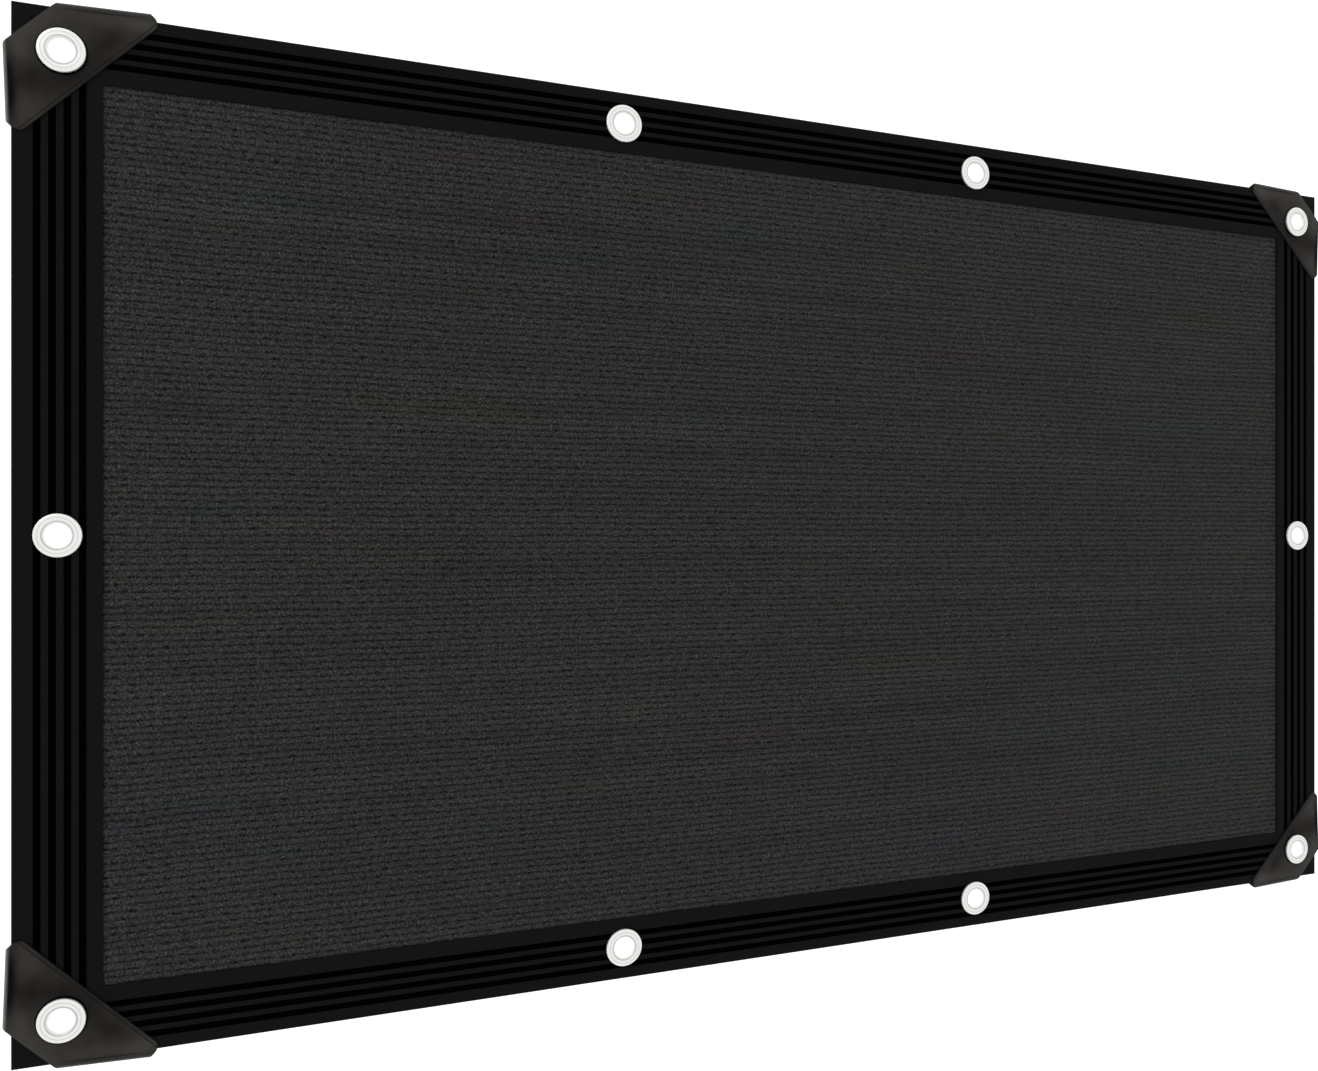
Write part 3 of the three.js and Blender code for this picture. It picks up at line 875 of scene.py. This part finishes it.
def press_forms(bm, eyelet_place):
    """Raises and presses the sheet, and keeps what its material needs: painted light and shade, and
    distances to its edges.
    """
    light_and_shade = bm.verts.layers.float.new("light_and_shade")
    hem_distance = bm.verts.layers.float.new("hem_distance")
    eyelet_distance = bm.verts.layers.float.new("eyelet_distance")
    long_crease_shade = bm.verts.layers.float.new("long_crease_shade")
    wear_and_sheen = bm.verts.layers.float.new("wear_and_sheen")
    for vert in bm.verts:
        x, y = vert.co.x, vert.co.y
        amounts = [(form_at(vert.co, form), form) for form in LEATHER_FORMS]
        to_hem = (PATCH_SPAN - x - y) / math.sqrt(2)
        to_tip = (x + y - PATCH_TIP) / math.sqrt(2)
        to_eyelet = (vert.co.xy - eyelet_place).length
        vert[hem_distance] = to_hem
        vert[eyelet_distance] = to_eyelet
        # The tip's painted highlight, and each form's painted highlight or shade
        lit_tip = TIP_HIGHLIGHT["amount"] * math.exp(-to_tip / TIP_HIGHLIGHT["reach"])
        vert[light_and_shade] = sum(amount * form["light_and_shade"] for amount, form in amounts) + lit_tip
        # Painted shade in the long fold's crease, strongest at its middle
        crease = LONG_CREASE_SHADE["amount"] * math.exp(-((x - LONG_CREASE_SHADE["at"]) / LONG_CREASE_SHADE["reach"]) ** 4)
        vert[long_crease_shade] = crease if y < x else 0.0
        # Painted sheen and wear on the fold's crest, less on the long fold
        vert[wear_and_sheen] = LONG_WEAR_AND_SHEEN if y < x else SIDE_WEAR_AND_SHEEN
        if vert.co.z > DEEPEST_PRESS:
            lift = sum(amount * form["lift"] for amount, form in amounts) * MM
            lift += WRINKLE_HEIGHT * noise.noise(Vector((x * WRINKLE_SCALE, y * WRINKLE_SCALE, 3.0)))
            lift -= dented(to_eyelet, EYELET_DENT)
            lift -= dented(to_hem, HEM_DENT)
            vert.co.z += max(lift, -DEEPEST_PRESS)


def arc(centre_r, centre_z, radius, start, end, steps):
    """Points on an arc of a section, in millimetres and degrees."""
    angles = [math.radians(start + (end - start) * i / steps) for i in range(steps + 1)]
    return [(centre_r + radius * math.cos(a), centre_z + radius * math.sin(a)) for a in angles]


def spun(profile, centre, name, material, node):
    """A piece spun round the vertical at centre, from a closed section of radii and heights in mm."""
    bm = bmesh.new()
    verts = [bm.verts.new((r * MM, 0.0, z * MM)) for r, z in profile]
    edges = [bm.edges.new((verts[i - 1], verts[i])) for i in range(len(verts))]
    bmesh.ops.spin(bm, geom=verts + edges, cent=(0, 0, 0), axis=(0, 0, 1), angle=math.tau, steps=SPIN_STEPS,
                   use_merge=True, use_duplicate=False)
    bmesh.ops.remove_doubles(bm, verts=bm.verts, dist=MERGE_DISTANCE)
    bmesh.ops.recalc_face_normals(bm, faces=bm.faces)
    bmesh.ops.translate(bm, vec=centre, verts=bm.verts)
    mark_grooves(bm, centre.xy)
    return finished(bm, name, [material], [node], smooth_angle=50.0)


def in_groove(radius, groove, narrowing=1.0):
    """How deep a groove is at that radius, as a share."""
    return groove["depth"] * math.exp(-((radius - groove["radius"]) / (narrowing * groove["width"])) ** 2)


def flange_height(radius):
    """Height of the flange's face at that radius, in millimetres: a dome with pressed grooves."""
    across = (radius - FLANGE_MIDDLE) / FLANGE_HALF_WIDTH
    dome = FLANGE_CREST - FLANGE_FALL * abs(across) ** 3.2
    return dome - GROOVE_PRESS * sum(in_groove(radius, groove, 0.5) for groove in EYELET_GROOVES)


def eyelet_section(grip, clinch):
    """Section of an eyelet about its face: a rolled rim, a domed and grooved flange, a barrel and a lip."""
    foot = -(grip + clinch)
    rim = [(12.15, 0.3), (12.42, 0.42), (12.5, 0.7)]
    face = [(r, flange_height(r)) for r in (12.3 - 0.2 * i for i in range(26))]
    throat = [(7.1, 1.25), (6.95, 1.05), (6.82, 0.7), (6.75, 0.1)]
    barrel = [(6.72, foot + 0.9)]
    lip = [(6.85, foot + 0.35), (7.2, foot + 0.08), (7.6, foot), (8.9, foot), (9.2, foot + 0.15)]
    curl = [(9.3, foot + 0.4), (9.1, foot + 0.58), (7.9, foot + 0.6), (7.5, foot + 0.85)]
    return rim + face + throat + barrel + lip + curl + [(7.5, 0.0), (7.7, 0.3)]


def mark_grooves(bm, centre):
    """Keeps how deep each point lies in a groove, painted shade, and whether it is inside the barrel,
    painted light.
    """
    groove = bm.verts.layers.float.new("groove")
    barrel = bm.verts.layers.float.new("barrel")
    for vert in bm.verts:
        radius = (vert.co.xy - centre).length / MM
        vert[barrel] = 1.0 if radius < BARREL_INSIDE else 0.0
        vert[groove] = min(1.0, sum(in_groove(radius, pressed) for pressed in EYELET_GROOVES))


def eyelet(name, material):
    node = "eyelet_" + name
    low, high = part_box(node)
    centre = (low + high) / 2
    centre.z = high.z - EYELET_PROUD
    grip = CORNER_GRIP if name in CORNERS else TAPE_GRIP
    clinch = (centre.z - low.z) / MM - grip
    return spun(eyelet_section(grip, clinch), centre, "spun_" + node, material, node)


def washer(name, material):
    node = "washer_" + name
    low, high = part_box(node)
    centre = (low + high) / 2
    centre.z = low.z
    thick = (high.z - low.z) / MM
    under = [(7.8, 0.0), (11.6, 0.0)] + arc(11.7, 0.3, 0.3, -90, 0, 4)
    over = [(12.0, thick - 0.1), (11.9, thick), (7.8, thick)]
    return spun(under + over, centre, "spun_" + node, material, node)


def pale_floor():
    bm = bmesh.new()
    bmesh.ops.create_grid(bm, x_segments=1, y_segments=1, size=FLOOR_SIZE)
    bmesh.ops.translate(bm, vec=(0, 0, FLOOR_Z), verts=bm.verts)
    mesh = bpy.data.meshes.new("floor")
    bm.to_mesh(mesh)
    bm.free()
    mesh.materials.append(floor_material())
    floor = bpy.data.objects.new("floor", mesh)
    bpy.context.scene.collection.objects.link(floor)


def white_room():
    world = bpy.data.worlds.new("white_room")
    world.use_nodes = True
    world.node_tree.nodes["Background"].inputs["Color"].default_value = grey(1.0)
    world.node_tree.nodes["Background"].inputs["Strength"].default_value = 1.0
    bpy.context.scene.world = world
    bpy.context.scene.view_settings.view_transform = "Standard"


def soft_lamp():
    lamp = bpy.data.lights.new("soft_key", "AREA")
    lamp.shape = "DISK"
    lamp.size = LAMP_SIZE
    lamp.energy = LAMP_WATTS
    key = bpy.data.objects.new("soft_key", lamp)
    key.location = LAMP_PLACE
    key.rotation_euler = (-LAMP_PLACE).to_track_quat("-Z", "Y").to_euler()
    bpy.context.scene.collection.objects.link(key)


def camera():
    """The camera of the photograph, over the left of the cloth and turned to look along it."""
    made = bpy.data.cameras.new("camera")
    made.lens = LENS
    made.sensor_width = SENSOR_WIDTH
    viewer = bpy.data.objects.new("camera", made)
    viewer.location = CAMERA_PLACE + Vector((0, 0, MIDDLE_Z))
    viewer.rotation_euler = (0, CAMERA_TURN, 0)
    bpy.context.scene.collection.objects.link(viewer)
    bpy.context.scene.camera = viewer


camera()
pale_floor()
white_room()
soft_lamp()
net = knitted_net(net_material())
woven, channel, thread = tape_material(), channel_shade_material(), thread_material()
tapes = [binding_tape(node, woven, channel) for node in LONG_TAPES + SIDE_TAPES]
seams = [seam_rows(node, thread) for node in LONG_TAPES + SIDE_TAPES]
leather = leather_material()
patches = [corner_patch(corner, leather) for corner in CORNERS]
metal = metal_material()
eyelets = [eyelet(name, metal) for name in EYELETS]
washers = [washer(name, metal) for name in EYELETS]
